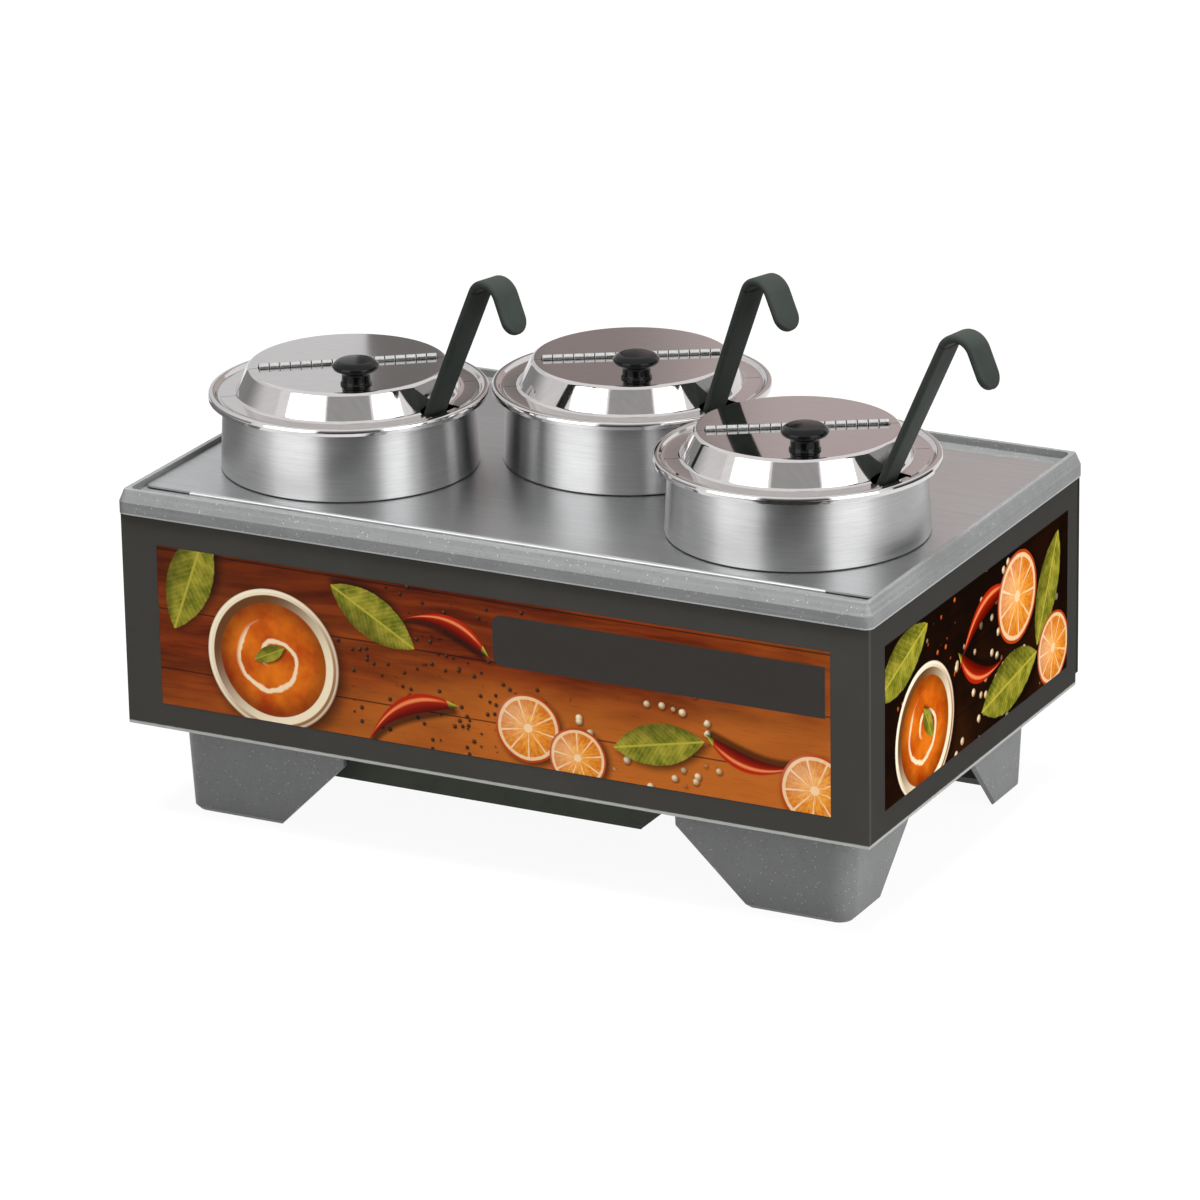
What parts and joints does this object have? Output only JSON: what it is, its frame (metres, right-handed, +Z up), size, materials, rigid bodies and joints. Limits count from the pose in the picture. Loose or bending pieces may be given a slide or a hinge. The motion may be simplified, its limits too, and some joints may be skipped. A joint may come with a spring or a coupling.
{
  "type": "soup station",
  "caption": "Countertop soup warmer: drafted resin base on legs, printed panels, water well, steel plate with raised collars, and round insets with piano-hinged lids and hooked ladles.",
  "frame": {"origin": "on the counter, under the middle of the moulded base", "axes": "+Z up, +X along the long side, -Y towards the serving side with the printed front panel"},
  "size_m": [0.5993, 0.3394, 0.3904],
  "materials": {
    "resin": "moulded resin with pale specks",
    "panel_board": "charcoal board with a matt grain",
    "print_film": null,
    "zinc_steel": "zinc plated",
    "well_steel": "drawn stainless sheet",
    "black_steel": "matt black paint",
    "element_steel": "heat-tinted sheath",
    "white_plastic": "moulded phenolic",
    "black_gloss": "polished black phenolic",
    "red_lens": "moulded lens",
    "black_rubber": "moulded rubber",
    "plate_steel": "brushed along its length",
    "collar_steel": "brushed round the ring",
    "inset_steel": "mirror-polished stainless",
    "lid_steel": "mirror-polished stainless",
    "hinge_steel": "rolled stainless",
    "ladle_steel": "stainless sheet",
    "grip_coating": "dipped vinyl coating"
  },
  "bodies": {
    "base": {"housing": "resin", "leg_front_left": "resin", "leg_front_right": "resin", "leg_rear_left": "resin", "leg_rear_right": "resin", "leg_bolts": "zinc_steel", "panel_front": "panel_board", "panel_left": "panel_board", "panel_right": "panel_board", "print_front": "print_film", "print_left": "print_film", "print_right": "print_film", "panel_brackets": "zinc_steel", "panel_screws": "zinc_steel", "water_well": "well_steel", "bottom_plate": "well_steel", "control_box": "black_steel", "heating_element": "element_steel", "thermostat": "white_plastic", "pilot_light": "red_lens", "cord_gland": "black_rubber"},
    "dial": {"thermostat_knob": "black_gloss"},
    "plate": {"adaptor_plate": "plate_steel", "collar_left": "collar_steel", "collar_middle": "collar_steel", "collar_right": "collar_steel"},
    "inset_body_left": {"inset_left": "inset_steel"},
    "lid_body_left": {"lid_back_left": "lid_steel", "hinge_back_leaf_left": "hinge_steel", "hinge_pin_left": "hinge_steel"},
    "flap_body_left": {"lid_flap_left": "lid_steel", "hinge_front_leaf_left": "hinge_steel", "lid_knob_left": "black_gloss", "knob_screw_left": "zinc_steel"},
    "ladle_body_left": {"ladle_left": "ladle_steel", "ladle_grip_left": "grip_coating"},
    "inset_body_middle": {"inset_middle": "inset_steel"},
    "lid_body_middle": {"lid_back_middle": "lid_steel", "hinge_back_leaf_middle": "hinge_steel", "hinge_pin_middle": "hinge_steel"},
    "flap_body_middle": {"lid_flap_middle": "lid_steel", "hinge_front_leaf_middle": "hinge_steel", "lid_knob_middle": "black_gloss", "knob_screw_middle": "zinc_steel"},
    "ladle_body_middle": {"ladle_middle": "ladle_steel", "ladle_grip_middle": "grip_coating"},
    "inset_body_right": {"inset_right": "inset_steel"},
    "lid_body_right": {"lid_back_right": "lid_steel", "hinge_back_leaf_right": "hinge_steel", "hinge_pin_right": "hinge_steel"},
    "flap_body_right": {"lid_flap_right": "lid_steel", "hinge_front_leaf_right": "hinge_steel", "lid_knob_right": "black_gloss", "knob_screw_right": "zinc_steel"},
    "ladle_body_right": {"ladle_right": "ladle_steel", "ladle_grip_right": "grip_coating"}
  },
  "joints": [
    {"name": "plate_lift", "type": "slide", "parent": "base", "child": "plate", "axis": [0, 0, 1], "range_m": [0, 0.2]},
    {"name": "thermostat_turn", "type": "hinge", "parent": "base", "child": "dial", "pos_m": [0.03, 0.11901, 0.0525], "axis": [0, 1, 0], "range_deg": [0, 270]},
    {"name": "inset_lift_left", "type": "slide", "parent": "plate", "child": "inset_body_left", "axis": [0, 0, 1], "range_m": [0, 0.2]},
    {"name": "lid_lift_left", "type": "slide", "parent": "inset_body_left", "child": "lid_body_left", "axis": [0, 0, 1], "range_m": [0, 0.1]},
    {"name": "flap_hinge_left", "type": "hinge", "parent": "lid_body_left", "child": "flap_body_left", "pos_m": [-0.1665, -0.0455, 0.3005], "axis": [-0.809, -0.5878, 0], "range_deg": [0, 140]},
    {"name": "ladle_lift_left", "type": "slide", "parent": "inset_body_left", "child": "ladle_body_left", "axis": [0.4188, -0.1241, 0.8996], "range_m": [0, 0.06]},
    {"name": "inset_lift_middle", "type": "slide", "parent": "plate", "child": "inset_body_middle", "axis": [0, 0, 1], "range_m": [0, 0.2]},
    {"name": "lid_lift_middle", "type": "slide", "parent": "inset_body_middle", "child": "lid_body_middle", "axis": [0, 0, 1], "range_m": [0, 0.1]},
    {"name": "flap_hinge_middle", "type": "hinge", "parent": "lid_body_middle", "child": "flap_body_middle", "pos_m": [0, 0.0455, 0.3005], "axis": [-0.8572, -0.515, 0], "range_deg": [0, 140]},
    {"name": "ladle_lift_middle", "type": "slide", "parent": "inset_body_middle", "child": "ladle_body_middle", "axis": [0.3607, -0.1277, 0.9239], "range_m": [0, 0.06]},
    {"name": "inset_lift_right", "type": "slide", "parent": "plate", "child": "inset_body_right", "axis": [0, 0, 1], "range_m": [0, 0.025]},
    {"name": "lid_lift_right", "type": "slide", "parent": "inset_body_right", "child": "lid_body_right", "axis": [0, 0, 1], "range_m": [0, 0.025]},
    {"name": "flap_hinge_right", "type": "hinge", "parent": "lid_body_right", "child": "flap_body_right", "pos_m": [0.1665, -0.0455, 0.3005], "axis": [-0.8526, -0.5225, 0], "range_deg": [0, 115]},
    {"name": "ladle_lift_right", "type": "slide", "parent": "inset_body_right", "child": "ladle_body_right", "axis": [0.4249, -0.0787, 0.9018], "range_m": [0, 0.06]}
  ]
}
